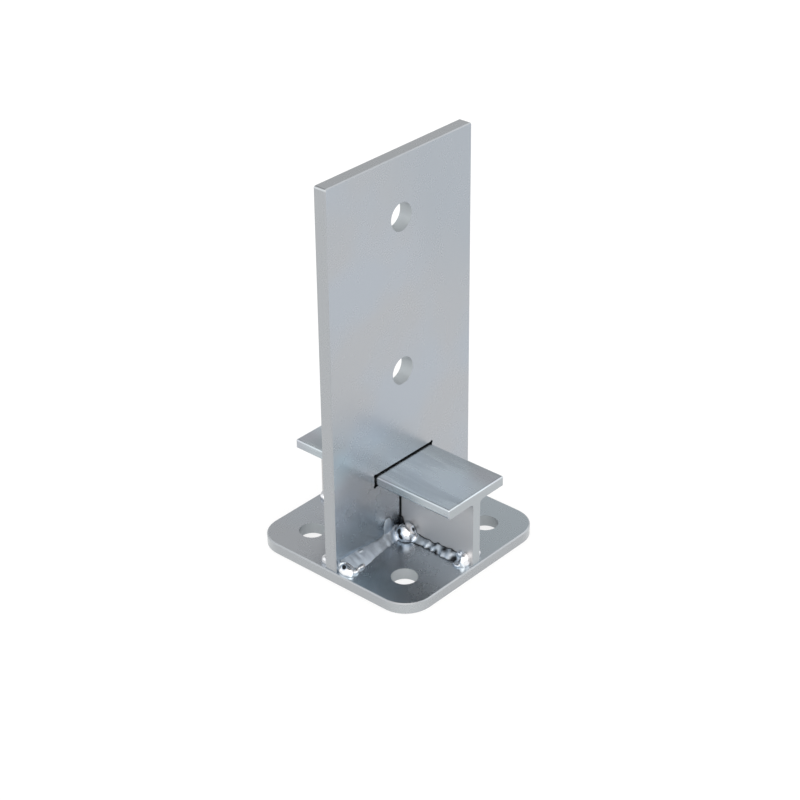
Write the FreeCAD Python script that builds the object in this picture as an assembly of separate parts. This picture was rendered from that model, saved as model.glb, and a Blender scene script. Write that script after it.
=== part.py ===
import FreeCAD, Part
import math
import os

from FreeCAD import Vector

# Timber post base of welded and galvanised steel, in millimetres.
#
# A square base plate is anchored to the concrete. A tall blade plate stands on it across X and goes
# into a saw cut in the post's foot. A short piece of rolled tee bar lies along Y, with its web on the
# base plate and its flange up: it passes through a tee-shaped slot in the blade, and its flat top
# carries the post clear of the ground. A fillet weld in each of the four corners joins the three.
#
# The origin is the centre of the base plate's underside. +Z is up, and front is -Y.

# Base plate
base_width = 100.0
base_depth = 100.0
base_thickness = 6.0
base_corner_radius = 15.0
base_edge_chamfer = 0.6

# Anchor bolts, one in each corner of the base plate
anchor_bolt_diameter = 12.0
anchor_hole_clearance = 1.0
anchor_edge_distance = 20.0

# Blade plate, measured up from the top of the base plate
blade_height = 198.0
blade_thickness = 7.0
blade_side_inset = 1.0
blade_corner_radius = 1.2
blade_edge_chamfer = 0.5

# Bolts through the post and the blade, one above the other
post_bolt_diameter = 12.0
post_hole_clearance = 2.0
post_hole_top_distance = 30.0
post_hole_pitch = 79.0

# Rolled tee bar that the post stands on
tee_height = 40.0
tee_flange_width = 40.0
tee_flange_thickness = 5.0
tee_web_thickness = 5.0
tee_root_radius = 2.0
tee_toe_radius = 1.0
tee_end_inset = 1.0

# Slot in the blade that the tee bar passes through
slot_clearance = 1.0
slot_relief_radius = 0.9

# Fillet welds: a run along the foot of the blade and a run along the foot of the web in each corner.
# The front left one has a round globule near the corner, where its two runs start. The globule's
# centre is placed from the three faces that make the corner.
blade_weld_leg = 5.0
web_weld_leg = 4.0
weld_bulge = 0.8
weld_end_inset = 1.8
weld_swell_pitch = 8.6
weld_swell_depth = 0.4
weld_unevenness = 0.07
weld_end_swell = 1.0
globule_radius = 5.2
globule_from_web = 2.4
globule_from_blade = 5.8
globule_above_base = 2.8

# Sizes that follow from those above
blade_width = base_width - 2 * blade_side_inset
tee_length = base_depth - 2 * tee_end_inset
blade_top = base_thickness + blade_height
seat_height = base_thickness + tee_height
anchor_hole_radius = (anchor_bolt_diameter + anchor_hole_clearance) / 2
post_hole_radius = (post_bolt_diameter + post_hole_clearance) / 2

UP = Vector(0, 0, 1)
ALONG_X = Vector(1, 0, 0)
ALONG_Y = Vector(0, 1, 0)


def block(width, depth, height, bottom):
    """Box centred on the Z axis, standing on the level `bottom`."""
    return Part.makeBox(width, depth, height, Vector(-width / 2, -depth / 2, bottom))


def edges_along(shape, direction, keep=lambda middle: True):
    """Straight edges parallel to `direction` whose middle point passes `keep`."""
    found = []
    for edge in shape.Edges:
        if not isinstance(edge.Curve, Part.Line):
            continue
        if abs(abs(edge.Curve.Direction.dot(direction)) - 1) < 1e-6 and keep(edge.CenterOfMass):
            found.append(edge)
    return found


def edges_in_plane(shape, normal, level):
    """Edges that lie wholly in the plane at `level` along `normal`."""
    return [e for e in shape.Edges if all(abs(v.Point.dot(normal) - level) < 1e-6 for v in e.Vertexes)]


def drill(shape, start, direction, radius, depth):
    """The shape with a round hole of the given depth cut from `start` along `direction`."""
    return shape.cut(Part.makeCylinder(radius, depth, start, direction))


def base_plate():
    """Square plate with round corners, softened edges and an anchor hole near each corner."""
    plate = block(base_width, base_depth, base_thickness, 0)
    plate = plate.makeFillet(base_corner_radius, edges_along(plate, UP))
    outline = edges_in_plane(plate, UP, 0) + edges_in_plane(plate, UP, base_thickness)
    plate = plate.makeChamfer(base_edge_chamfer, outline)
    for side_x in (-1, 1):
        for side_y in (-1, 1):
            x = side_x * (base_width / 2 - anchor_edge_distance)
            y = side_y * (base_depth / 2 - anchor_edge_distance)
            plate = drill(plate, Vector(x, y, 0), UP, anchor_hole_radius, base_thickness)
    return plate


def tee_prism(length, grown=0.0):
    """Prism along Y with the rolled tee's section, its outline moved outwards by `grown`.

    The web's foot stays on the base plate, so that the grown section is open at the bottom.
    """
    half_flange = tee_flange_width / 2 + grown
    half_web = tee_web_thickness / 2 + grown
    top = seat_height + grown
    flange_bottom = seat_height - tee_flange_thickness - grown
    right = [
        (half_web, base_thickness),
        (half_web, flange_bottom),
        (half_flange, flange_bottom),
        (half_flange, top),
    ]
    left = [(-x, z) for x, z in reversed(right)]
    outline = [Vector(x, -length / 2, z) for x, z in right + left]
    prism = Part.Face(Part.makePolygon(outline + outline[:1])).extrude(ALONG_Y * length)
    roots = edges_along(prism, ALONG_Y, lambda m: abs(abs(m.x) - half_web) < 1e-6 and m.z > base_thickness)
    return prism.makeFillet(tee_root_radius - grown, roots)


def tee_bar():
    """Rolled tee bar, web down and flange up, with the flange's outer edges slightly rounded."""
    bar = tee_prism(tee_length)
    half_flange = tee_flange_width / 2
    toes = edges_along(bar, ALONG_Y, lambda m: abs(abs(m.x) - half_flange) < 1e-6)
    corners = edges_along(bar, UP, lambda m: abs(abs(m.x) - half_flange) < 1e-6)
    ends = edges_along(bar, ALONG_X, lambda m: abs(m.z - seat_height) < 1e-6)
    return bar.makeFillet(tee_toe_radius, toes + corners + ends)


def blade_plate():
    """Tall plate across X with two bolt holes and a tee-shaped slot, open at the bottom."""
    plate = block(blade_width, blade_thickness, blade_height, base_thickness)
    plate = plate.makeFillet(blade_corner_radius, edges_along(plate, ALONG_Y, lambda m: m.z > seat_height))
    for face_y in (-blade_thickness / 2, blade_thickness / 2):
        outline = edges_in_plane(plate, ALONG_Y, face_y)
        outline = [e for e in outline if e.CenterOfMass.z > base_thickness + 1e-6]
        plate = plate.makeChamfer(blade_edge_chamfer, outline)

    front = -blade_thickness / 2
    plate = plate.cut(tee_prism(3 * blade_thickness, slot_clearance))
    for side_x in (-1, 1):
        x = side_x * (tee_flange_width + slot_clearance) / 2
        for z in (
            seat_height + slot_clearance / 2,
            seat_height - tee_flange_thickness - slot_clearance / 2,
        ):
            plate = drill(plate, Vector(x, front, z), ALONG_Y, slot_relief_radius, blade_thickness)
    for below_top in (post_hole_top_distance, post_hole_top_distance + post_hole_pitch):
        start = Vector(0, front, blade_top - below_top)
        plate = drill(plate, start, ALONG_Y, post_hole_radius, blade_thickness)
    return plate


def weld_run(leg, length, phase):
    """Lumpy fillet along +X in the corner between the planes Y = 0 and Z = 0, before trimming.

    The face is turned about an axis that lies behind the corner, as far in Y as in Z, so that the
    trimmed section is a fillet of the given leg whose face bulges by `weld_bulge`. Each swell rises
    slowly and drops steeply, and the run ends in a larger one, part of a ball centred on the axis.
    """
    throat = leg / math.sqrt(2) + weld_bulge
    behind = (leg**2 - throat**2) / (2 * math.sqrt(2) * weld_bulge)
    corner_radius = behind * math.sqrt(2)
    face_radius = corner_radius + throat
    valley = face_radius - weld_swell_depth
    end_radius = face_radius + weld_end_swell
    end_centre = length - math.sqrt(end_radius**2 - corner_radius**2)
    end_start = end_centre - math.sqrt(end_radius**2 - valley**2)

    def at(x, radius):
        return Vector(x, -behind, radius - behind)

    swells = max(2, round(end_start / weld_swell_pitch))
    pitch = end_start / swells
    corners = [at(-pitch, 0), at(-pitch, valley)]
    for i in range(swells):
        shift = weld_unevenness * math.sin(2.3 * i + phase)
        crest = face_radius + throat * weld_unevenness * math.sin(1.9 * i + phase)
        corners.append(at(pitch * (i + 0.7 + shift), crest))
        corners.append(at(pitch * (i + 1), valley))
    top = at(end_centre, end_radius)
    tip = at(end_centre + end_radius, 0)
    outline = Part.makePolygon(corners).Edges
    outline += [Part.Arc(corners[-1], top, tip).toShape(), Part.makeLine(tip, corners[0])]
    return Part.Face(Part.Wire(outline)).revolve(at(0, 0), ALONG_X, 360)


def weld_bead(side_x, side_y, has_globule):
    """One corner's weld, made in the corner X > 0, Y > 0, Z > 0 and then set in its own quadrant."""
    phase = 0.7 * side_x + 1.6 * side_y
    blade_run_length = blade_width / 2 - tee_web_thickness / 2 - weld_end_inset
    web_run_length = tee_length / 2 - blade_thickness / 2 - weld_end_inset
    blade_run = weld_run(blade_weld_leg, blade_run_length, phase)
    web_run = weld_run(web_weld_leg, web_run_length, phase + 1).mirror(Vector(), ALONG_X - ALONG_Y)
    bead = blade_run.fuse(web_run)
    if has_globule:
        centre = Vector(globule_from_web, globule_from_blade, globule_above_base)
        bead = bead.fuse(Part.makeSphere(globule_radius, centre, ALONG_X - ALONG_Y))
    bead = bead.common(Part.makeBox(base_width, base_depth, blade_height))
    bead.translate(Vector(tee_web_thickness / 2, blade_thickness / 2, base_thickness))
    if side_x < 0:
        bead = bead.mirror(Vector(), ALONG_X)
    if side_y < 0:
        bead = bead.mirror(Vector(), ALONG_Y)
    return bead


def build():
    """Every piece of the post base, by name."""
    pieces = {
        "base_plate": base_plate(),
        "blade_plate": blade_plate(),
        "tee_bar": tee_bar(),
    }
    for row, side_y in (("front", -1), ("rear", 1)):
        for column, side_x in (("left", -1), ("right", 1)):
            has_globule = row == "front" and column == "left"
            pieces[f"weld_{row}_{column}"] = weld_bead(side_x, side_y, has_globule)
    return pieces


os.makedirs("parts", exist_ok=True)
for name, solid in build().items():
    if not solid.isValid() or len(solid.Solids) != 1:
        raise ValueError(f"{name} is not one sound solid")
    solid.exportStep(f"parts/{name}.step")
    print(f"{name}: {solid.Volume:.0f} mm3")
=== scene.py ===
"""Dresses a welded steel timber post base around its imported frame.

The plates and the rolled tee keep the frame's own solids and get zinc-coated finishes. The four
corner welds are modelled again as lumpy beads of weld metal. A white floor, soft light and the
camera complete the studio. Lengths are in millimetres where a name ends in _mm or a class says
so, and otherwise in metres.
"""

import logging
import math
from dataclasses import dataclass, field
from enum import Enum
from typing import Any, Union

import bmesh
import bpy
import numpy as np
from mathutils import Matrix, Vector


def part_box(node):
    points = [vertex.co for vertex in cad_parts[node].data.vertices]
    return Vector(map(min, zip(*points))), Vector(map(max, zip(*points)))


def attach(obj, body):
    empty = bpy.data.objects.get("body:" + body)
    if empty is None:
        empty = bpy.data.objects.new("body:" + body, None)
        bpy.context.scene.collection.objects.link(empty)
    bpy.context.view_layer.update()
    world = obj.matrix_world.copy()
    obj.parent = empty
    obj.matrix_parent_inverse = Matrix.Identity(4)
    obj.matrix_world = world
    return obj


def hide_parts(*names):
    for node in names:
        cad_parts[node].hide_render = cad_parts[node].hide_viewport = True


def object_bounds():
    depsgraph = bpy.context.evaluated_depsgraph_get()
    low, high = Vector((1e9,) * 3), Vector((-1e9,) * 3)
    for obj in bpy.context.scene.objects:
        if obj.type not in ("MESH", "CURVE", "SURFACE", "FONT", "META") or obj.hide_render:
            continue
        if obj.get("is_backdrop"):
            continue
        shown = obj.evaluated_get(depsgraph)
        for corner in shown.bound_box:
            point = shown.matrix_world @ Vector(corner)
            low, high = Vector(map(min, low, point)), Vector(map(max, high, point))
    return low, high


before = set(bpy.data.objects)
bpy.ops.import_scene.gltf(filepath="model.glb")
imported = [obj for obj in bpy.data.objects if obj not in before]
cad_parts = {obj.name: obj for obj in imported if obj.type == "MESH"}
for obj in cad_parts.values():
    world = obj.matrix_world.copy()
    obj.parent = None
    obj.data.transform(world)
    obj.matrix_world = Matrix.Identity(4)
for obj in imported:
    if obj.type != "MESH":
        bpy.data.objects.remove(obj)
CAD_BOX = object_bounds()

MM = 0.001
BODY = "root"
SHINE = "shine"
LOG = logging.getLogger("post_base")

# The middle of soft noise
NOISE_MIDDLE = 0.5
# A face counts as a side where the square of a part of its normal goes through this span
TURNED_SIDE = (0.5, 0.9)
# Cosine waves have pitches between these shares of their middle one
PITCH_SPREAD = (0.6, 1.7)
# Points nearer than this share of a voxel are merged
MERGE_SHARE = 0.01
# A ball's grid, and the pitch and number of its lumps' waves for a radius of 1
BALL_ROWS = 33
BALL_COLUMNS = 48
BALL_LUMP_PITCH = 1.4
BALL_LUMP_WAVES = 16

Array = np.ndarray
Colour = tuple[float, float, float]
Span = tuple[float, float]
Knots = tuple[Span, ...]


# ---------------------------------------------------------------------------------------------
# Shader nodes


class Wire:
    """An output socket of a node graph that takes part in arithmetic."""

    def __init__(self, graph: "Graph", socket: bpy.types.NodeSocket) -> None:
        """Keeps the graph that new Math nodes go into, and the socket."""
        self.graph = graph
        self.socket = socket

    def __add__(self, other: "Term") -> "Wire":
        """self + other."""
        return self.graph.math("ADD", self, other)

    def __radd__(self, other: "Term") -> "Wire":
        """other + self."""
        return self.graph.math("ADD", other, self)

    def __sub__(self, other: "Term") -> "Wire":
        """self - other."""
        return self.graph.math("SUBTRACT", self, other)

    def __rsub__(self, other: "Term") -> "Wire":
        """other - self."""
        return self.graph.math("SUBTRACT", other, self)

    def __mul__(self, other: "Term") -> "Wire":
        """self * other."""
        return self.graph.math("MULTIPLY", self, other)

    def __rmul__(self, other: "Term") -> "Wire":
        """other * self."""
        return self.graph.math("MULTIPLY", other, self)


Term = Union[Wire, float]


class Graph:
    """The node tree of one material or world, with the few calls that build it."""

    def __init__(self, owner: Any) -> None:
        """Clears the owner's node tree and remembers it."""
        owner.use_nodes = True
        self.tree = owner.node_tree
        self.tree.nodes.clear()

    def node(
        self,
        kind: str,
        settings: dict[str, Any] | None = None,
        inputs: dict[Any, Any] | None = None,
        output: int | str = 0,
    ) -> Wire | None:
        """Adds a node.

        Args:
            kind: The node's type name.
            settings: Its properties, which are set first. "stops" is a colour ramp's list of
                (position, colour).
            inputs: Values or wires for its input sockets, by name or number.
            output: The output socket that is returned.

        Returns:
            The chosen output, or None for a node that has none.
        """
        made = self.tree.nodes.new(kind)
        for name, value in (settings or {}).items():
            if name == "stops":
                self._set_stops(made.color_ramp, value)
            else:
                setattr(made, name, value)
        for name, value in (inputs or {}).items():
            if isinstance(value, Wire):
                self.tree.links.new(value.socket, made.inputs[name])
            else:
                made.inputs[name].default_value = value
        return Wire(self, made.outputs[output]) if len(made.outputs) else None

    def math(self, operation: str, *terms: Term) -> Wire:
        """Adds a Math node.

        Args:
            operation: The node's operation, such as "ADD".
            terms: The values of its sockets, in their order.

        Returns:
            The node's result.
        """
        return self.node("ShaderNodeMath", {"operation": operation}, dict(enumerate(terms)))

    @staticmethod
    def _set_stops(ramp: bpy.types.ColorRamp, stops: list[tuple[float, Colour]]) -> None:
        """Gives a colour ramp its stops.

        Args:
            ramp: The ramp, with its two first stops.
            stops: Position and colour of each stop, in rising order.
        """
        while len(ramp.elements) < len(stops):
            ramp.elements.new(1.0)
        for element, (position, colour) in zip(ramp.elements, stops):
            element.position = position
            element.color = (*colour, 1.0)

    def place(self) -> Wire:
        """The point on the object, in metres."""
        return self.node("ShaderNodeTexCoord", output="Object")

    def stretched(self, place: Wire, scale: Colour, shift: Colour = (0.0, 0.0, 0.0)) -> Wire:
        """The place with each axis scaled, and then shifted."""
        inputs = {"Vector": place, "Scale": scale, "Location": shift}
        return self.node("ShaderNodeMapping", None, inputs)

    def part(self, vector: Wire, axis: "Axis") -> Wire:
        """One part of a vector."""
        return self.node("ShaderNodeSeparateXYZ", None, {"Vector": vector}, axis.value)

    def size(self, vector: Wire, axis: "Axis") -> Wire:
        """One part of a vector, without its sign."""
        return self.math("ABSOLUTE", self.part(vector, axis))

    def distance(self, place: Wire, middle: Colour) -> Wire:
        """How far the place is from a middle."""
        inputs = {0: place, 1: middle}
        return self.node("ShaderNodeVectorMath", {"operation": "DISTANCE"}, inputs, 1)

    def along(self, place: Wire, lean: Colour) -> Wire:
        """How far the place lies along lean: their dot product."""
        inputs = {0: place, 1: lean}
        return self.node("ShaderNodeVectorMath", {"operation": "DOT_PRODUCT"}, inputs, 1)

    def noise(
        self,
        place: Wire,
        size_mm: float,
        detail: float = 2.0,
        rough: float = 0.5,
        bent: float = 0.0,
    ) -> Wire:
        """Soft noise.

        Args:
            place: Where it is read.
            size_mm: Size of its largest blotches.
            detail: How many finer layers are added.
            rough: How strong the finer layers are.
            bent: How much its blotches are drawn out of shape.

        Returns:
            The noise, from 0 to 1, mostly near 0.5.
        """
        inputs = {
            "Vector": place,
            "Scale": 1.0 / (size_mm * MM),
            "Detail": detail,
            "Roughness": rough,
            "Distortion": bent,
        }
        return self.node("ShaderNodeTexNoise", None, inputs)

    def step(self, value: Wire, low: float, high: float) -> Wire:
        """A smooth step of value, 0 at low and 1 at high."""
        settings = {"interpolation_type": "SMOOTHSTEP"}
        inputs = {"Value": value, "From Min": low, "From Max": high}
        return self.node("ShaderNodeMapRange", settings, inputs)

    def step_mm(self, value: Wire, span_mm: Span) -> Wire:
        """A smooth step of a length in metres, between two lengths in millimetres."""
        return self.step(value, span_mm[0] * MM, span_mm[1] * MM)

    def blend(self, factor: Term, first: Any, second: Any, mode: str = "MIX") -> Wire:
        """A mix of two colours, each a wire or a colour."""
        inputs = {
            0: factor,
            6: first if isinstance(first, Wire) else (*first, 1.0),
            7: second if isinstance(second, Wire) else (*second, 1.0),
        }
        settings = {"data_type": "RGBA", "blend_type": mode}
        return self.node("ShaderNodeMix", settings, inputs, output=2)

    def layered(self, tint: Wire, *layers: tuple[Wire, Any]) -> Wire:
        """A tint with colours laid over it in turn, each through its mask."""
        for mask, colour in layers:
            tint = self.blend(mask, tint, colour)
        return tint

    def normal_part(self, axis: "Axis") -> Wire:
        """One part of the flat face's normal, between -1 and 1."""
        return self.part(self.node("ShaderNodeNewGeometry", output="True Normal"), axis)

    def bump(self, height: Wire, depth_mm: float) -> Wire:
        """A normal bent by a height between 0 and 1 that stands for the given depth."""
        inputs = {"Height": height, "Strength": 1.0, "Distance": depth_mm * MM}
        return self.node("ShaderNodeBump", None, inputs, "Normal")

    def surface(self, inputs: dict[Any, Any]) -> None:
        """Ends a material in one principled shader with the given sockets."""
        shader = self.node("ShaderNodeBsdfPrincipled", None, inputs)
        self.node("ShaderNodeOutputMaterial", None, {"Surface": shader})


class Axis(Enum):
    """An axis of the frame, with the number of its part in a vector."""

    X = 0
    Y = 1
    Z = 2


# ---------------------------------------------------------------------------------------------
# Finishes


def swaying(noise: Wire, amount: float) -> Wire:
    """Noise moved to lie round 0 and multiplied by amount."""
    return amount * (noise - NOISE_MIDDLE)


@dataclass(frozen=True)
class Patch:
    """A patch of another tint on a plate.

    It is full up to the first distance of fades_mm from its middle, and gone at the second.
    """

    middle_mm: Colour
    fades_mm: Span
    tint: Colour

    def mask(self, graph: Graph, place: Wire) -> Wire:
        """1 in the patch, fading to 0 round it."""
        middle = tuple(part * MM for part in self.middle_mm)
        return 1.0 - graph.step_mm(graph.distance(place, middle), self.fades_mm)


@dataclass(frozen=True)
class ZincPlate:
    """Satin zinc on a plate: cloudy cool grey, with duller edges and sides and rough hole walls.

    across is the axis that its faces look along, and holes are the middles of its holes in
    metres. Its tint is "cool" to "warm" in clouds, and turns to "far" where its slow noise times
    drift_share plus the way along lean, which is given per metre, goes through far_turns. Its
    sides turn to "corner", a painted highlight, where |x| + |y| goes through corner_highlight_mm,
    and to "slot", painted shade, below slot_shade_top_mm where |x| is under slot_shade_reach_mm.
    Its faces turn to the duller "foot_shade", painted shade, as they come down through
    foot_shade_mm to the weld, and have patches, some of them painted shade and highlight. A value
    that starts with rough_ is what its part adds to the roughness.
    """

    name: str
    across: Axis
    holes: tuple[Colour, ...]
    cool: Colour
    warm: Colour
    far: Colour
    lean: Colour
    far_turns: Span
    side: Colour = (0.400, 0.418, 0.435)
    # painted highlight on the corners of the sides
    corner: Colour = (0.400, 0.418, 0.435)
    corner_highlight_mm: Span = (82.0, 94.0)
    edge: Colour = (0.36, 0.38, 0.40)
    wall: Colour = (0.36, 0.39, 0.41)
    # painted shade: near black on the sides of the blade's slot
    slot: Colour = (0.06, 0.065, 0.07)
    slot_shade_top_mm: Span = (-1.0, 0.0)
    slot_shade_reach_mm: Span = (24.0, 25.0)
    # painted shade on the faces, darker towards the foot; only the blade's span reaches it
    foot_shade: Colour = (0.330, 0.375, 0.420)
    foot_shade_mm: Span = (-18.0, 0.0)
    patches: tuple[Patch, ...] = ()
    cloud_mm: float = 55.0
    cloud_turns: Span = (0.40, 0.60)
    drift_share: float = 0.3
    drift_scale: Colour = (1.0, 1.0, 0.7)
    drift_shift: Colour = (0.3, 0.1, 0.2)
    mottle_mm: float = 9.0
    grain_mm: float = 0.7
    hole_mm: Span = (9.0, 10.0)
    roughness: float = 0.27
    rough_mottle: float = 0.08
    rough_cloud: float = 0.10
    rough_grain: float = 0.04
    rough_edge: float = 0.20
    rough_wall: float = 0.25
    wall_dullness: float = 0.6
    relief_mm: float = 0.012

    def material(self) -> bpy.types.Material:
        """The finish as a material."""
        made = bpy.data.materials.new(self.name)
        graph = Graph(made)
        place = graph.place()
        cloud = graph.noise(place, self.cloud_mm)
        drifting = graph.stretched(place, self.drift_scale, self.drift_shift)
        drift = graph.noise(drifting, self.cloud_mm)
        drift = self.drift_share * drift + graph.along(place, self.lean)
        mottle = graph.noise(place, self.mottle_mm, detail=1.0)
        grain = graph.noise(place, self.grain_mm)

        # flat is 1 on a face and 0 on a side, and edge is 1 halfway between them, on a chamfer
        turned = graph.normal_part(self.across)
        flat = turned * turned
        edge = 4.0 * flat * (1.0 - flat)
        side = graph.step(1.0 - flat, *TURNED_SIDE)
        near = 0.0
        for hole in self.holes:
            near = 1.0 - graph.step_mm(graph.distance(place, hole), self.hole_mm) + near
        wall = near * side
        height = graph.part(place, Axis.Z)
        beside = graph.size(place, Axis.X)
        # painted shade on the sides of the slot that the tee passes through
        slot = side * (1.0 - graph.step_mm(height, self.slot_shade_top_mm))
        slot = slot * (1.0 - graph.step_mm(beside, self.slot_shade_reach_mm))
        # painted shade: the faces get darker as they come down towards the weld
        foot_shade = (1.0 - graph.step_mm(height, self.foot_shade_mm)) * (1.0 - side)
        # painted highlight on the corners of the sides
        corner = side * graph.step_mm(beside + graph.size(place, Axis.Y), self.corner_highlight_mm)

        tint = graph.layered(
            graph.blend(graph.step(cloud, *self.cloud_turns), self.cool, self.warm),
            (graph.step(drift, *self.far_turns), self.far),
            (foot_shade, self.foot_shade),
            *((patch.mask(graph, place), patch.tint) for patch in self.patches),
            (edge, self.edge),
            (side, self.side),
            (corner, self.corner),
            (wall, self.wall),
            (slot, self.slot),
        )
        rough = self.roughness + swaying(mottle, self.rough_mottle) + swaying(cloud, self.rough_cloud)
        rough = rough + swaying(grain, self.rough_grain)
        rough = rough + self.rough_edge * edge + self.rough_wall * wall
        graph.surface(
            {
                "Base Color": tint,
                "Metallic": 1.0 - self.wall_dullness * wall,
                "Roughness": rough,
                "Normal": graph.bump(mottle, self.relief_mm),
            }
        )
        return made


@dataclass(frozen=True)
class ZincTee:
    """Satin zinc on the rolled tee: long wavy streaks on its flange and a paler, plainer web.

    The web's paler tint is painted light. It turns to the tint "root", a painted shadow under the
    flange, as its height goes through flange_shadow_mm, and to the tint "slot", painted shade,
    inside the blade. The flange turns to "crown" along its middle, more so towards its ends, where
    the extra is painted light, and to "shade", painted shade, beside it, more so towards the blade.
    Streaks are 1 / run times as long as they are wide. Where a name ends in _turns, its noise
    blends two tints between these bounds. A value that starts with rough_ is what its part adds to
    the roughness.
    """

    name: str
    pale: Colour = (0.468, 0.518, 0.545)
    dark: Colour = (0.368, 0.408, 0.438)
    lilac: Colour = (0.420, 0.440, 0.480)
    crown: Colour = (0.500, 0.555, 0.600)
    # painted shade beside the flange's middle, more towards the blade
    shade: Colour = (0.350, 0.380, 0.400)
    end: Colour = (0.42, 0.45, 0.47)
    # painted light: the web's paler tint on the same zinc as the flange
    web: Colour = (0.54, 0.535, 0.54)
    # painted shadow under the flange, high on the web
    root: Colour = (0.36, 0.37, 0.38)
    # painted shade: near black where the web is inside the blade
    slot: Colour = (0.06, 0.065, 0.07)
    web_mm: Span = (9.0, 10.0)
    web_turned: Span = (0.3, 0.9)
    flange_shadow_mm: Span = (33.0, 41.5)
    flange_shadow_share: float = 0.7
    slot_shade_mm: Span = (3.8, 4.4)
    outer_mm: Span = (12.0, 46.0)
    crown_mm: Span = (3.0, 14.0)
    crown_share: float = 0.35
    # painted light: the extra crown towards the flange's ends
    crown_end_light_share: float = 0.6
    shade_mm: Span = (6.0, 17.0)
    shade_share: float = 0.9
    shade_outer_loss: float = 0.8
    run: float = 0.14
    streak_mm: float = 9.0
    streak_bend: float = 0.6
    streak_turns: Span = (0.42, 0.56)
    wander_mm: float = 34.0
    wander_turns: Span = (0.46, 0.60)
    fine_mm: float = 2.2
    fine_strength: float = 0.6
    fine_turns: Span = (0.40, 0.70)
    fine_share: float = 0.25
    roughness: float = 0.27
    rough_streak: float = 0.10
    rough_fine: float = 0.05
    rough_end: float = 0.10
    rough_web: float = 0.23
    relief_streak: float = 0.7
    relief_fine: float = 0.3
    relief_mm: float = 0.025

    def material(self) -> bpy.types.Material:
        """The finish as a material."""
        made = bpy.data.materials.new(self.name)
        graph = Graph(made)
        place = graph.place()
        wander = graph.noise(place, self.wander_mm, detail=1.0)
        along = graph.stretched(place, (1.0, self.run, 1.0))
        streaks = graph.noise(along, self.streak_mm, bent=self.streak_bend)
        fine = graph.noise(along, self.fine_mm, rough=self.fine_strength)
        turned = graph.normal_part(Axis.Y)
        end = graph.step(turned * turned, *TURNED_SIDE)
        facing = graph.normal_part(Axis.X)
        reach = graph.size(place, Axis.X)
        web = graph.step(facing * facing, *self.web_turned) * (1.0 - graph.step_mm(reach, self.web_mm))
        under = graph.step(graph.normal_part(Axis.Z) * -1.0, *self.web_turned)
        web = graph.math("MAXIMUM", web, under)
        forward = graph.size(place, Axis.Y)
        # painted shadow: the web darkens as it rises to the flange
        root = graph.step_mm(graph.part(place, Axis.Z), self.flange_shadow_mm) * (1.0 - under)
        # painted shade where the web is inside the blade
        slot = web * (1.0 - graph.step_mm(forward, self.slot_shade_mm))
        outer = graph.step_mm(forward, self.outer_mm)
        crown = 1.0 - graph.step_mm(reach, self.crown_mm)
        shade = graph.step_mm(graph.part(place, Axis.X), self.shade_mm)

        tint = graph.layered(
            graph.blend(graph.step(streaks, *self.streak_turns), self.dark, self.pale),
            (graph.step(wander, *self.wander_turns), self.lilac),
            (graph.step(fine, *self.fine_turns) * self.fine_share, self.pale),
            # paler middle band; its extra share towards the ends is painted light
            (crown * (self.crown_share + self.crown_end_light_share * outer), self.crown),
            # painted shade beside the middle, more towards the blade
            (shade * (self.shade_share - self.shade_outer_loss * outer), self.shade),
            # paler web is painted light, and root a painted shadow under the flange
            (web, graph.blend(self.flange_shadow_share * root, self.web, self.root)),
            # painted shade inside the blade
            (slot, self.slot),
            (end, self.end),
        )
        rough = self.roughness + swaying(streaks, self.rough_streak) + swaying(fine, self.rough_fine)
        rough = rough + self.rough_end * end + self.rough_web * web
        height = (self.relief_streak * streaks + self.relief_fine * fine) * (1.0 - web)
        graph.surface(
            {
                "Base Color": tint,
                "Metallic": 1.0,
                "Roughness": rough,
                "Normal": graph.bump(height, self.relief_mm),
            }
        )
        return made


@dataclass(frozen=True)
class WeldMetal:
    """Weld metal: painted white highlight at a shine of 2, shiny at 1, dull at 0, and dark at -1 with
    scale and painted shade.

    The shine is an attribute of the piece, made uneven by soft noise times patch_share. The tint
    turns to the next one as the shine goes through a span that ends in _turns.
    """

    name: str
    # painted highlight: white weld metal at the highest shine
    white: Colour = (0.93, 0.94, 0.96)
    bright: Colour = (0.56, 0.57, 0.59)
    dull: Colour = (0.53, 0.60, 0.68)
    # near black: weld scale, and painted shade in hollows, at toes and as dark reflections
    scale: Colour = (0.02, 0.022, 0.025)
    scale_and_shade_turns: Span = (-1.0, -0.1)
    shine_turns: Span = (0.0, 1.0)
    highlight_turns: Span = (1.2, 1.9)
    patch_mm: float = 5.0
    patch_share: float = 0.7
    skin_mm: float = 1.1
    layers: float = 3.0
    layer_strength: float = 0.6
    shiny_roughness: float = 0.08
    dull_roughness: float = 0.46
    highlight_roughness: float = 0.24
    rough_skin: float = 0.06
    relief_mm: float = 0.02

    def material(self) -> bpy.types.Material:
        """The finish as a material."""
        made = bpy.data.materials.new(self.name)
        graph = Graph(made)
        place = graph.place()
        patch = graph.noise(place, self.patch_mm, self.layers, self.layer_strength)
        skin = graph.noise(place, self.skin_mm, self.layers, self.layer_strength)
        own = graph.node("ShaderNodeAttribute", {"attribute_name": SHINE}, output="Fac")
        own = own + swaying(patch, self.patch_share)
        shine = graph.step(own, *self.shine_turns)
        tint = graph.blend(shine, self.dull, self.bright)
        # near black at low shine: weld scale and painted shade
        tint = graph.blend(graph.step(own, *self.scale_and_shade_turns), self.scale, tint)
        # painted white highlight at the highest shine
        white = graph.step(own, *self.highlight_turns)
        tint = graph.blend(white, tint, self.white)
        rough = self.dull_roughness + (self.shiny_roughness - self.dull_roughness) * shine
        rough = rough + (self.highlight_roughness - self.shiny_roughness) * white
        rough = rough + swaying(skin, self.rough_skin)
        graph.surface(
            {
                "Base Color": tint,
                "Metallic": 1.0,
                "Roughness": rough,
                "Normal": graph.bump(skin, self.relief_mm),
            }
        )
        return made


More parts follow.
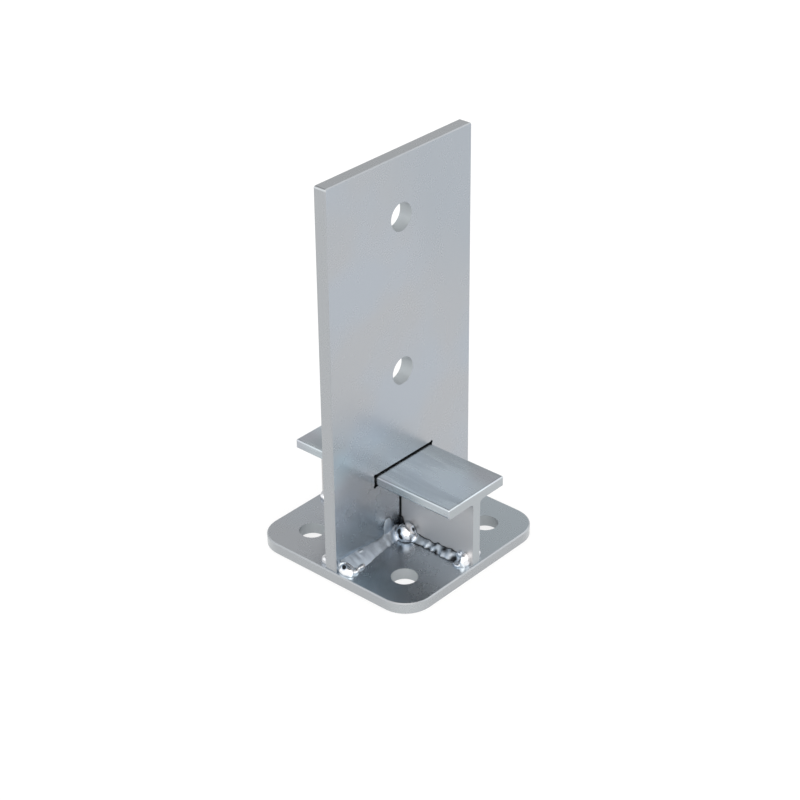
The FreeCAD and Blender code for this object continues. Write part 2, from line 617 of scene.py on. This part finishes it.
@dataclass(frozen=True)
class PaleFloor:
    """Plain white floor that also glows a little, so that shadows on it stay faint."""

    name: str = "pale_floor"
    white: Colour = (0.20, 0.20, 0.20)
    glow: float = 0.78
    roughness: float = 0.9

    def material(self) -> bpy.types.Material:
        """The finish as a material."""
        made = bpy.data.materials.new(self.name)
        graph = Graph(made)
        graph.surface(
            {
                "Base Color": (*self.white, 1.0),
                "Roughness": self.roughness,
                "Emission Color": (1.0, 1.0, 1.0, 1.0),
                "Emission Strength": self.glow,
            }
        )
        return made


# ---------------------------------------------------------------------------------------------
# Shapes


def grid_faces(rows: int, columns: int) -> Array:
    """Quads of a grid of points whose columns close into a ring.

    Args:
        rows: Points along the grid.
        columns: Points round it.

    Returns:
        The corner numbers, one row of four to a quad.
    """
    row, column = np.meshgrid(np.arange(rows - 1), np.arange(columns), indexing="ij")
    here = row * columns + column
    beside = row * columns + (column + 1) % columns
    return np.stack([here, beside, beside + columns, here + columns], -1).reshape(-1, 4)


def smooth_step(value: Array, low: float, high: float) -> Array:
    """0 below low, 1 above high, and 3t^2 - 2t^3 between them."""
    t = np.clip((value - low) / (high - low), 0.0, 1.0)
    return t * t * (3.0 - 2.0 * t)


def wavering(rng: np.random.Generator, distance: Array, pitch: float, waves: int = 5) -> Array:
    """Uneven wave along a run: a sum of cosines with pitches spread round the given one.

    Args:
        rng: Source of the pitches and phases.
        distance: Where the wave is read.
        pitch: Its middle wavelength, in the same unit.
        waves: How many cosines are added.

    Returns:
        Values mostly between -1 and 1.
    """
    number = 2.0 * math.pi / (pitch * rng.uniform(*PITCH_SPREAD, waves))
    phase = rng.uniform(0.0, 2.0 * math.pi, waves)
    return np.cos(distance[..., None] * number + phase).sum(-1) / math.sqrt(waves)


def lumps(rng: np.random.Generator, points: Array, pitch: float, waves: int = 40) -> Array:
    """Uneven lumps in space: a sum of plane cosine waves in directions all round.

    Args:
        rng: Source of the directions, pitches and phases.
        points: Where the lumps are read, one row each.
        pitch: Middle wavelength.
        waves: How many waves are added.

    Returns:
        Values mostly between -1 and 1.
    """
    direction = rng.normal(size=(waves, 3))
    direction /= np.linalg.norm(direction, axis=1, keepdims=True)
    number = 2.0 * math.pi / (pitch * rng.uniform(*PITCH_SPREAD, waves))
    phase = rng.uniform(0.0, 2.0 * math.pi, waves)
    return np.cos(points @ (direction * number[:, None]).T + phase).sum(1) / math.sqrt(waves)


@dataclass(frozen=True)
class Shell:
    """A closed skin: its points and its quads."""

    points: Array
    quads: Array


def ball(centre: Colour, radii: Colour, rng: np.random.Generator, rough: float) -> Shell:
    """Lumpy ellipsoid.

    A point at longitude a and height angle b is centre + radii * (cos b cos a, cos b sin a,
    sin b), pushed out by the lumps times rough.

    Args:
        centre: Its middle.
        radii: Its half sizes along X, Y and Z.
        rng: Source of the lumps.
        rough: Height of the lumps, as a share of the radii.

    Returns:
        The skin, with a point at each pole.
    """
    b, a = np.meshgrid(
        np.linspace(-math.pi / 2, math.pi / 2, BALL_ROWS),
        np.linspace(0.0, 2.0 * math.pi, BALL_COLUMNS, endpoint=False),
        indexing="ij",
    )
    unit = np.stack([np.cos(b) * np.cos(a), np.cos(b) * np.sin(a), np.sin(b)], -1).reshape(-1, 3)
    swell = 1.0 + rough * lumps(rng, unit, BALL_LUMP_PITCH, BALL_LUMP_WAVES)
    points = np.array(centre) + unit * np.array(radii) * swell[:, None]
    return Shell(points, grid_faces(BALL_ROWS, BALL_COLUMNS))


def skin_object(name: str, shells: list[Shell], voxel: float) -> bpy.types.Object:
    """One closed mesh round all the shells.

    Args:
        name: Name of the object.
        shells: Closed skins in metres, which may overlap.
        voxel: Size of the cells that the skins are joined on.

    Returns:
        The object, linked into the scene, with no modifier left on it.
    """
    sizes = np.cumsum([0] + [len(shell.points) for shell in shells])
    points = np.concatenate([shell.points for shell in shells])
    quads = np.concatenate([shell.quads + start for shell, start in zip(shells, sizes)])
    mesh = bpy.data.meshes.new(name)
    mesh.from_pydata(points.tolist(), [], quads.tolist())
    cleaned = bmesh.new()
    cleaned.from_mesh(mesh)
    merge = voxel * MERGE_SHARE
    bmesh.ops.remove_doubles(cleaned, verts=cleaned.verts, dist=merge)
    bmesh.ops.dissolve_degenerate(cleaned, edges=cleaned.edges, dist=merge)
    bmesh.ops.recalc_face_normals(cleaned, faces=cleaned.faces)
    cleaned.to_mesh(mesh)
    cleaned.free()
    made = bpy.data.objects.new(name, mesh)
    bpy.context.scene.collection.objects.link(made)
    joining = made.modifiers.new("join", "REMESH")
    joining.mode = "VOXEL"
    joining.voxel_size = voxel
    settled = made.evaluated_get(bpy.context.evaluated_depsgraph_get())
    joined = bpy.data.meshes.new_from_object(settled)
    made.modifiers.clear()
    made.data = joined
    joined.name = name
    bpy.data.meshes.remove(mesh)
    return made


def mesh_points(mesh: bpy.types.Mesh) -> tuple[Array, Array]:
    """The points of a mesh and the normals at them, one row each."""
    points = np.empty(len(mesh.vertices) * 3, np.float32)
    normals = np.empty(len(mesh.vertices) * 3, np.float32)
    mesh.vertices.foreach_get("co", points)
    mesh.vertices.foreach_get("normal", normals)
    return points.reshape(-1, 3).astype(float), normals.reshape(-1, 3).astype(float)


def set_mesh_points(mesh: bpy.types.Mesh, points: Array) -> None:
    """Moves the points of a mesh and makes it smooth shaded."""
    mesh.vertices.foreach_set("co", points.astype(np.float32).ravel())
    mesh.polygons.foreach_set("use_smooth", np.ones(len(mesh.polygons), bool))
    mesh.update()


# ---------------------------------------------------------------------------------------------
# Welds


@dataclass(frozen=True)
class Run:
    """One straight run of a bead, in millimetres, from the corner outwards.

    out and up say how far the weld reaches over the base and up the standing plate, as pairs
    of distance from the corner and reach. unevenness is the height of the waves in both, and lump
    that of its lumps. shine is -1 for dark metal with scale and painted shade, 0 for dull, 1 for
    shiny and 2 for a painted white highlight, toe_shade is the painted shade along its edges, as
    shine lost, and ripple is the share of the weld's ripples that it shows.
    """

    out: Knots
    up: Knots
    bulge: float = 0.8
    unevenness: float = 0.30
    lump: float = 0.12
    shine: float = 0.45
    # painted shade along the bead's edges, as shine lost
    toe_shade: float = 0.6
    ripple: float = 1.0


@dataclass(frozen=True)
class Drop:
    """A drop of weld metal: centre and half sizes in millimetres, from the weld's corner.

    rough is the height of its own unevenness as a share of its half sizes. lump, shine and
    toe_shade are as in a run.
    """

    centre: Colour
    radii: Colour
    rough: float = 0.05
    lump: float = 0.08
    shine: float = 0.9
    # painted shade along the drop's edges, as shine lost
    toe_shade: float = 0.3


@dataclass(frozen=True)
class Mark:
    """A round mark on a bead, in millimetres from the weld's corner, fading out round its middle.

    depth is how far the bead is hollowed there, or raised where it is below 0. shine is what the
    mark adds to the bead's shine: below 0 it is darker, painted shade, and above 0 brighter, a
    painted highlight.
    """

    centre: Colour
    radius: float
    depth: float
    shine: float


@dataclass
class CornerWeld:
    """Bead that runs along the web's foot, round the corner and along the blade's foot.

    Lengths are in millimetres. side_x and side_y are the signs of x and y on its side of the
    corner. sunk is how far its back lies inside the plates. Within join of the corner the values
    of both runs blend, and within corner_length their points are pushed along. Rings of points
    are ring_gap apart, with end_rings over each rounded end, and a ring has turns points on its
    face and back_turns along each plate. fine_share and bulge_share are the heights of the fine
    waves and of the bulge's as shares of a run's unevenness, and lump_fine_share is that of the
    fine lumps as a share of its lump. toe_shade_width is the width of the edge that gets painted
    shade, as lost shine.
    drop_fades is where a drop's own look starts and ends to fade, as shares of its size.
    """

    node: str
    side_x: int
    side_y: int
    seed: int
    blade_run: Run
    web_run: Run
    drops: tuple[Drop, ...] = ()
    marks: tuple[Mark, ...] = ()
    sunk: float = 0.3
    join: float = 3.0
    corner_length: float = 14.0
    ring_gap: float = 0.25
    end_rings: int = 16
    end_round: float = 3.0
    turns: int = 30
    back_turns: int = 6
    out_pitch: float = 5.0
    out_fine_pitch: float = 1.6
    up_pitch: float = 5.5
    up_fine_pitch: float = 1.8
    fine_share: float = 0.1
    bulge_pitch: float = 6.5
    bulge_share: float = 0.5
    arch_power: float = 0.8
    ripple_pitch: float = 1.9
    ripple_height: float = 0.05
    ripple_bow: float = 2.2
    ripple_drift: float = 0.5
    ripple_drift_pitch: float = 9.0
    ripple_sharpness: float = 0.6
    lump_pitch: float = 3.8
    lump_fine_pitch: float = 1.52
    lump_fine_share: float = 0.15
    voxel: float = 0.2
    # width of the painted shade along the toes
    toe_shade_width: float = 0.45
    drop_fades: Span = (1.05, 1.3)

    def corner(self) -> Vector:
        """The point where blade, web and base meet, from the node's own box."""
        low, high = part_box(self.node)
        x = high.x if self.side_x < 0 else low.x
        y = high.y if self.side_y < 0 else low.y
        return Vector((x, y, low.z))

    def lengths(self) -> tuple[float, float]:
        """Length of the run along the blade and of that along the web, in millimetres."""
        low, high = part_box(self.node)
        size = (high - low) / MM
        return size.x, size.y

    def bead(self, rng: np.random.Generator) -> Shell:
        """Skin of the bead, in millimetres from the corner, blade run along X, web run along Y.

        Its two parameters are the distance u along the bead, below 0 on the web and above 0 on
        the blade, and the turn v round its section. The section is a fillet from (out, 0) to
        (0, up) whose chord is bulged by bulge * sin(pi v) ** arch_power, and whose back lies just
        inside the plates. Its ripples are cos(t + ripple_sharpness * sin t), where t turns once
        each ripple_pitch of u, with a bow over the face and an uneven drift. Near the corner,
        where s = |u| is below L = corner_length, a point at distance q from its plate is pushed
        along by q (1 - s / L) ** 2, so that both runs meet on the diagonal. At its ends the
        section shrinks like a quarter ellipse.

        Args:
            rng: Source of the unevenness.

        Returns:
            The closed skin.
        """
        blade_length, web_length = self.lengths()
        back_turns = self.back_turns
        quarter = np.linspace(0, math.pi / 2, self.end_rings)
        u = np.concatenate([
            -web_length + self.end_round * (1 - np.cos(quarter))[:-1],
            np.arange(-web_length + self.end_round, blade_length - self.end_round, self.ring_gap),
            blade_length - self.end_round * (1 - np.sin(quarter)),
        ])
        s = np.abs(u)
        on_blade = smooth_step(u, -self.join, self.join)

        def mixed(name: str) -> Array:
            """One value or reach along the whole bead, from that of each run."""
            web, blade = getattr(self.web_run, name), getattr(self.blade_run, name)
            if isinstance(web, tuple):
                web, blade = (np.interp(s, *np.array(knots).T) for knots in (web, blade))
            return web + (blade - web) * on_blade

        def wavy(name: str, pitch: float, fine_pitch: float) -> Array:
            """A reach with a long uneven wave and a short shallow one."""
            long_wave = uneven * wavering(rng, u, pitch)
            return mixed(name) + long_wave + self.fine_share * uneven * wavering(rng, u, fine_pitch)

        uneven = mixed("unevenness")
        out = wavy("out", self.out_pitch, self.out_fine_pitch)
        up = wavy("up", self.up_pitch, self.up_fine_pitch)
        bulge = mixed("bulge") + self.bulge_share * uneven * wavering(rng, u, self.bulge_pitch)

        v = np.linspace(0.0, 1.0, self.turns)
        q = out[:, None] * (1 - v) - self.sunk * v
        z = up[:, None] * v - self.sunk * (1 - v)
        slant = np.hypot(out, up)[:, None]
        arch = np.sin(math.pi * v) ** self.arch_power
        bow = self.ripple_bow * np.sin(math.pi * v)
        drift = self.ripple_drift * wavering(rng, u, self.ripple_drift_pitch)[:, None]
        along = (u[:, None] + bow + drift) / self.ripple_pitch
        turn = 2.0 * math.pi * along
        ripple = np.cos(turn + self.ripple_sharpness * np.sin(turn))
        ripple = self.ripple_height * mixed("ripple")[:, None] * ripple
        height = arch * (bulge[:, None] + ripple)
        q = q + height * up[:, None] / slant
        z = z + height * out[:, None] / slant

        down = np.linspace(1.0, 0.0, back_turns + 1)[1:]
        back_q = np.broadcast_to(
            np.concatenate([np.full(back_turns, -self.sunk), np.zeros(back_turns - 1)]),
            (len(u), 2 * back_turns - 1),
        ).copy()
        back_z = back_q.copy()
        back_z[:, :back_turns] = -self.sunk + (up[:, None] + self.sunk) * down
        outwards = 1.0 - down[:-1]
        back_q[:, back_turns:] = -self.sunk + (out[:, None] + self.sunk) * outwards
        back_z[:, back_turns:] = -self.sunk
        q = np.concatenate([q, back_q], 1)
        z = np.concatenate([z, back_z], 1)

        length = np.where(u > 0, blade_length, web_length)
        past = np.clip((s - length + self.end_round) / self.end_round, 0.0, 1.0)
        shrink = np.sqrt(np.clip(1.0 - past**2, 0.0, 1.0))[:, None]
        q = -self.sunk + (q + self.sunk) * shrink
        z = -self.sunk + (z + self.sunk) * shrink

        push = np.clip(1.0 - s / self.corner_length, 0.0, 1.0)[:, None] ** 2
        run = s[:, None] + q * push
        on_blade_run = (u > 0)[:, None]
        x = np.where(on_blade_run, run, q)
        y = np.where(on_blade_run, q, run)
        points = np.stack([x, y, z], -1).reshape(-1, 3)
        return Shell(points, grid_faces(len(u), q.shape[1]))

    def placed(self, shell: Shell) -> Shell:
        """A shell moved from its corner's own millimetres to its place in metres."""
        turned = shell.points * np.array([self.side_x, self.side_y, 1.0]) * MM
        return Shell(turned + np.array(self.corner()), shell.quads)

    def from_corner(self, points: Array) -> Array:
        """Points in metres as millimetres from the weld's corner, blade run along X."""
        return (points - np.array(self.corner())) / MM * np.array([self.side_x, self.side_y, 1.0])

    def character(self, local: Array) -> tuple[Array, Array]:
        """How shiny the metal is and how high its lumps are at each point.

        Args:
            local: Points in millimetres from the corner.

        Returns:
            The shine and the lumps' height. Each drop's own values fade into its run's. The
            shine is lower by "toe_shade" where the metal meets a plate: painted shade along the toes.
        """
        on_blade = local[:, 0] > local[:, 1]
        near = []
        for drop in self.drops:
            far = np.linalg.norm((local - np.array(drop.centre)) / np.array(drop.radii), axis=1)
            near.append(1.0 - smooth_step(far, *self.drop_fades))

        def value(name: str) -> Array:
            """One value at each point, from the run and then from each drop near it."""
            found = np.where(on_blade, getattr(self.blade_run, name), getattr(self.web_run, name))
            for drop, share in zip(self.drops, near):
                found = found + (getattr(drop, name) - found) * share
            return found

        # painted shade along the toes, where the metal meets a plate
        meeting = np.exp(-((np.maximum(local.min(axis=1), 0.0) / self.toe_shade_width) ** 2))
        return value("shine") - value("toe_shade") * meeting, value("lump")

    def build(self, finish: bpy.types.Material) -> bpy.types.Object:
        """Makes the bead with its drops as one skin and stands it in for its node.

        Args:
            finish: The weld metal.

        Returns:
            The finished piece.
        """
        rng = np.random.default_rng(self.seed)
        shells = [self.bead(rng)]
        shells += [ball(drop.centre, drop.radii, rng, drop.rough) for drop in self.drops]
        piece = skin_object(f"{self.node}_bead", [self.placed(s) for s in shells], self.voxel * MM)
        points, normals = mesh_points(piece.data)
        local = self.from_corner(points)
        shine, lump = self.character(local)
        relief = lumps(rng, local, self.lump_pitch)
        fine = lumps(rng, local, self.lump_fine_pitch)
        relief = (relief + self.lump_fine_share * fine) * lump
        for mark in self.marks:
            far = np.linalg.norm(local - np.array(mark.centre), axis=1) / mark.radius
            inside = np.exp(-(far**2))
            relief -= mark.depth * inside
            shine += mark.shine * inside
        set_mesh_points(piece.data, points + normals * relief[:, None] * MM)
        shining = piece.data.attributes.new(SHINE, "FLOAT", "POINT")
        shining.data.foreach_set("value", shine.astype(np.float32))
        piece.data.materials.clear()
        piece.data.materials.append(finish)
        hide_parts(self.node)
        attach(piece, BODY)
        LOG.info("%s: %d faces", piece.name, len(piece.data.polygons))
        return piece


@dataclass
class Welds:
    """The four corner welds.

    The front left one has runs, drops and marks of its own, and carries a ball of weld metal. The
    other three have steady runs with a drop at each end.
    """

    steady: Run = Run(
        out=((0, 4.6), (12, 5.0), (30, 5.2), (45, 5.4)),
        up=((0, 4.6), (12, 4.4), (30, 4.8), (45, 5.0)),
    )
    steady_web: Run = Run(
        out=((0, 4.6), (12, 4.2), (30, 4.4), (45, 4.8)),
        up=((0, 4.6), (12, 3.8), (30, 4.0), (45, 4.4)),
        unevenness=0.4,
    )
    front_left_blade: Run = Run(
        out=((0, 4.0), (8, 4.6), (17, 4.9), (24, 5.7), (30, 7.0), (36, 7.2), (45, 7.4)),
        up=((0, 5.5), (9, 6.0), (11.5, 5.0), (14, 4.1), (22, 4.2), (29, 5.2), (36, 5.5), (45, 5.6)),
        bulge=0.35,
        unevenness=0.17,
        lump=0.05,
        shine=0.0,
        toe_shade=0.2,
        ripple=0.1,
    )
    front_left_web: Run = Run(
        out=((0, 4.0), (10, 4.2), (22, 3.6), (30, 4.6), (34, 3.8), (45, 4.8)),
        up=((0, 4.0), (10, 3.4), (20, 3.2), (28, 4.0), (36, 4.4), (45, 4.8)),
        bulge=0.4,
        unevenness=0.36,
        lump=0.05,
        shine=-0.38,
        toe_shade=0.5,
        ripple=0.0,
    )
    # Drops with shine over 1.2 are painted white highlights, the ball's 1.6 along its edge paints
    # shade round its rim, and the drop with shine -1.6 paints shade in the gap above the ball.
    front_left_drops: tuple[Drop, ...] = (
        Drop((2.6, 6.0, 3.1), (5.2, 5.2, 5.2), 0.02, 0.13, 0.9, 1.6),
        Drop((0.3, 0.8, 7.0), (0.9, 1.3, 2.5), 0.05, 0.03, -1.6),
        Drop((9.4, 0.0, 7.0), (3.2, 0.8, 5.6), 0.05, 0.05, 0.05),
        Drop((43.2, 3.6, 1.0), (2.9, 4.9, 3.2), 0.05, 0.08, 1.65, 0.2),
        Drop((40.4, 6.6, 0.6), (2.4, 1.6, 1.1), 0.06, 0.06, 2.0, 0.2),
        Drop((0.8, 41.6, 1.2), (4.2, 2.5, 4.4), 0.07, 0.14, 1.7, 0.3),
        Drop((0.5, 38.9, 3.6), (1.5, 2.6, 2.0), 0.08, 0.12, 0.35, 0.5),
        Drop((4.2, 39.4, 0.5), (1.8, 2.6, 1.1), 0.08, 0.10, 0.35, 0.3),
        Drop((35.5, 6.4, 0.7), (2.2, 1.0, 0.9), 0.05, 0.03, 1.5),
        Drop((30.3, 0.9, 4.0), (2.2, 0.8, 1.0), 0.05, 0.03, 0.5, 0.0),
    )
    # Marks with shine below 0 paint shade in hollows, under and round the ball and as dark reflections
    # on it; those above 0 paint highlights on the ball.
    front_left_marks: tuple[Mark, ...] = (
        Mark((12.0, 2.0, 3.0), 14.0, 0.0, -0.42),
        Mark((6.0, 9.0, 0.2), 2.6, 0.0, -0.7),
        Mark((4.0, 7.1, 8.0), 1.7, -0.2, 1.2),
        Mark((5.6, 9.6, 4.6), 2.0, 0.0, 1.0),
        Mark((1.75, 10.0, 6.35), 1.2, 0.3, -3.0),
        Mark((6.95, 4.8, 5.7), 1.3, 0.3, -3.6),
        Mark((7.8, 6.35, 3.1), 1.3, 0.3, -3.6),
        Mark((44.6, 3.4, 3.8), 1.2, 0.8, -4.6),
        Mark((43.6, 1.9, 4.2), 1.8, 0.0, -1.5),
        Mark((3.3, 20.5, 1.2), 1.0, 0.3, -0.6),
        Mark((3.5, 25.0, 1.2), 1.2, 0.35, -0.6),
        Mark((3.4, 36.0, 1.4), 1.8, 0.6, -1.2),
        Mark((1.2, 22.3, 3.4), 1.2, 0.4, -0.6),
        Mark((1.2, 28.7, 3.4), 1.4, 0.35, -0.6),
        Mark((1.0, 33.5, 4.4), 1.3, 0.35, -0.6),
    )
    end_drops: tuple[Drop, ...] = (
        Drop((42.6, 2.2, 1.0), (2.8, 3.6, 3.0), 0.07),
        Drop((1.8, 41.4, 1.0), (3.2, 2.8, 3.0), 0.07),
    )

    def build(self, finish: bpy.types.Material) -> list[bpy.types.Object]:
        """Makes all four beads.

        Args:
            finish: The weld metal.

        Returns:
            The finished pieces.
        """
        plain = (self.steady, self.steady_web, self.end_drops)
        rich = (
            self.front_left_blade,
            self.front_left_web,
            self.front_left_drops,
            self.front_left_marks,
        )
        beads = (
            CornerWeld("weld_front_left", -1, -1, 11, *rich),
            CornerWeld("weld_front_right", 1, -1, 12, *plain),
            CornerWeld("weld_rear_left", -1, 1, 13, *plain),
            CornerWeld("weld_rear_right", 1, 1, 14, *plain),
        )
        return [bead.build(finish) for bead in beads]


# ---------------------------------------------------------------------------------------------
# Plates and studio


@dataclass
class Plates:
    """The base plate, the blade plate and the tee, which keep the frame's own solids."""

    anchor_inset_mm: float = 20.0
    post_holes_below_top_mm: tuple[float, float] = (30.0, 109.0)
    tee: ZincTee = ZincTee("zinc_tee")

    def base(self) -> ZincPlate:
        """The base plate's finish, with its anchor holes' middles from its box."""
        low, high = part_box("base_plate")
        inset = self.anchor_inset_mm * MM
        height = (low.z + high.z) / 2
        across, deep = (low.x + inset, high.x - inset), (low.y + inset, high.y - inset)
        return ZincPlate(
            "zinc_base",
            Axis.Z,
            holes=tuple((x, y, height) for x in across for y in deep),
            cool=(0.440, 0.475, 0.515),
            warm=(0.448, 0.468, 0.494),
            far=(0.437, 0.490, 0.528),
            lean=(2.2, -2.6, 0.0),
            far_turns=(0.10, 0.25),
            # painted highlight: lighter corners of the base's sides
            corner=(0.46, 0.485, 0.50),
            patches=(
                # painted shade on the top's front left quarter, by the blade and the tee
                Patch((-14.0, -32.0, 6.0), (8.0, 26.0), (0.400, 0.452, 0.500)),
                # painted highlight along the top's left edge
                Patch((-47.0, -25.0, 6.0), (4.0, 24.0), (0.620, 0.730, 0.810)),
            ),
        )

    def blade(self) -> ZincPlate:
        """The blade plate's finish, with its bolt holes' middles from its box."""
        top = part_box("blade_plate")[1].z
        return ZincPlate(
            "zinc_blade",
            Axis.Y,
            holes=tuple((0.0, 0.0, top - below * MM) for below in self.post_holes_below_top_mm),
            cool=(0.412, 0.447, 0.492),
            warm=(0.424, 0.440, 0.462),
            far=(0.385, 0.420, 0.460),
            lean=(1.2, 0.0, 1.2),
            far_turns=(0.28, 0.46),
            # painted shade in the slot below this height
            slot_shade_top_mm=(47.0, 48.0),
            # painted shade on the blade's faces below this height
            foot_shade_mm=(10.0, 28.0),
            patches=(
                # painted shade on the front face just above the weld
                Patch((-30.0, -3.5, 13.0), (8.0, 24.0), (0.318, 0.364, 0.404)),
                Patch((-46.0, -3.5, 61.0), (3.0, 14.0), (0.440, 0.515, 0.575)),
            ),
        )

    def dress(self) -> None:
        """Gives each solid its finish."""
        for node, finish in (
            ("base_plate", self.base()),
            ("blade_plate", self.blade()),
            ("tee_bar", self.tee),
        ):
            made = finish.material()
            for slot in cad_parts[node].material_slots:
                slot.material = made
            LOG.info("%s: %s", node, made.name)


@dataclass
class Camera:
    """The camera, by its place in millimetres, the directions of its own axes and its lens."""

    place_mm: Colour = (-618.738, -550.873, 561.045)
    right: Colour = (0.66026533, -0.75098665, -0.00829134)
    up: Colour = (0.38318417, 0.32735850, 0.86371657)
    back: Colour = (-0.64592537, -0.57345922, 0.50390966)
    lens: float = 91.3626
    sensor: float = 36.0
    clip_start: float = 0.01
    clip_end: float = 100.0

    def build(self) -> bpy.types.Object:
        """Makes the scene's camera."""
        data = bpy.data.cameras.new("camera")
        data.lens = self.lens
        data.sensor_width = self.sensor
        data.clip_start = self.clip_start
        data.clip_end = self.clip_end
        made = bpy.data.objects.new("camera", data)
        turned = Matrix((self.right, self.up, self.back)).transposed().to_4x4()
        made.matrix_world = Matrix.Translation(Vector(self.place_mm) * MM) @ turned
        bpy.context.scene.collection.objects.link(made)
        bpy.context.scene.camera = made
        return made


@dataclass(frozen=True)
class SoftLamp:
    """A wide soft lamp of the room: its direction, its light and how it fades.

    core and rim are the dot products with its direction where it is full and where it ends.
    """

    towards: Colour
    glow: Colour
    core: float = 0.95
    rim: float = 0.70


@dataclass
class Studio:
    """White floor, soft overhead light and a pale room with three soft lamps."""

    floor_radius: float = 12.0
    floor_sides: int = 96
    floor_drop_mm: float = 0.05
    sun_from: Colour = (0.17, 0.34, 0.92)
    sun_width_degrees: float = 24.0
    sun_strength: float = 0.5
    room_shades: tuple[tuple[float, float], ...] = (
        (0.0, 1.02), (0.12, 1.0), (0.25, 0.85), (0.5, 0.79), (0.8, 0.25), (1.0, 0.15),
    )
    lamps: tuple[SoftLamp, ...] = (
        SoftLamp((-0.646, -0.573, 0.504), (2.2, 2.1, 2.0)),
        SoftLamp((0.646, -0.573, 0.504), (1.1, 1.1, 1.1)),
        SoftLamp((-0.646, 0.573, 0.504), (0.9, 0.9, 0.9)),
    )
    floor: PaleFloor = field(default_factory=PaleFloor)

    def build(self) -> None:
        """Makes the floor, the lights and the room."""
        self._floor()
        self._sun()
        self._room()

    def _floor(self) -> None:
        """A round floor just under the object."""
        angle = np.linspace(0.0, 2.0 * math.pi, self.floor_sides, endpoint=False)
        rim = np.stack([np.cos(angle), np.sin(angle), np.zeros_like(angle)], -1) * self.floor_radius
        rim[:, 2] = -self.floor_drop_mm * MM
        mesh = bpy.data.meshes.new("floor")
        mesh.from_pydata(rim.tolist(), [], [list(range(self.floor_sides))])
        made = bpy.data.objects.new("floor", mesh)
        mesh.materials.append(self.floor.material())
        bpy.context.scene.collection.objects.link(made)
        made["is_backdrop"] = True

    def _sun(self) -> None:
        """A wide soft light from above."""
        data = bpy.data.lights.new("overhead", "SUN")
        data.energy = self.sun_strength
        data.angle = math.radians(self.sun_width_degrees)
        made = bpy.data.objects.new("overhead", data)
        made.rotation_mode = "QUATERNION"
        made.rotation_quaternion = Vector(self.sun_from).to_track_quat("Z", "Y")
        bpy.context.scene.collection.objects.link(made)

    def _room(self) -> None:
        """The room round the floor, dimmer overhead, with its wide soft lamps.

        A lamp is a smooth step of the dot product of a direction with the lamp's own.
        """
        world = bpy.data.worlds.new("room")
        bpy.context.scene.world = world
        graph = Graph(world)
        place = graph.node("ShaderNodeTexCoord", output="Generated")
        height = graph.node("ShaderNodeSeparateXYZ", None, {"Vector": place}, "Z")
        stops = [(at, (shade, shade, shade)) for at, shade in self.room_shades]
        light = graph.node("ShaderNodeValToRGB", {"stops": stops}, {"Fac": height})
        for lamp in self.lamps:
            near = graph.along(place, lamp.towards)
            light = graph.blend(graph.step(near, lamp.rim, lamp.core), light, lamp.glow, "ADD")
        light = graph.node("ShaderNodeBackground", None, {"Color": light, "Strength": 1.0})
        graph.node("ShaderNodeOutputWorld", None, {"Surface": light})


def write_sizes() -> None:
    boxes = {
        name: [[float(c) for c in corner] for corner in box]
        for name, box in (("cad", CAD_BOX), ("visual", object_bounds()))
    }
    LOG.info("sizes: %s", boxes)


def main() -> None:
    """Builds the scene in order: camera, studio, plates, welds."""
    logging.basicConfig(level=logging.INFO, format="%(name)s: %(message)s")
    Camera().build()
    Studio().build()
    Plates().dress()
    Welds().build(WeldMetal("weld_metal").material())
    bpy.context.scene.view_settings.view_transform = "Standard"
    write_sizes()


if __name__ == "__main__":
    main()
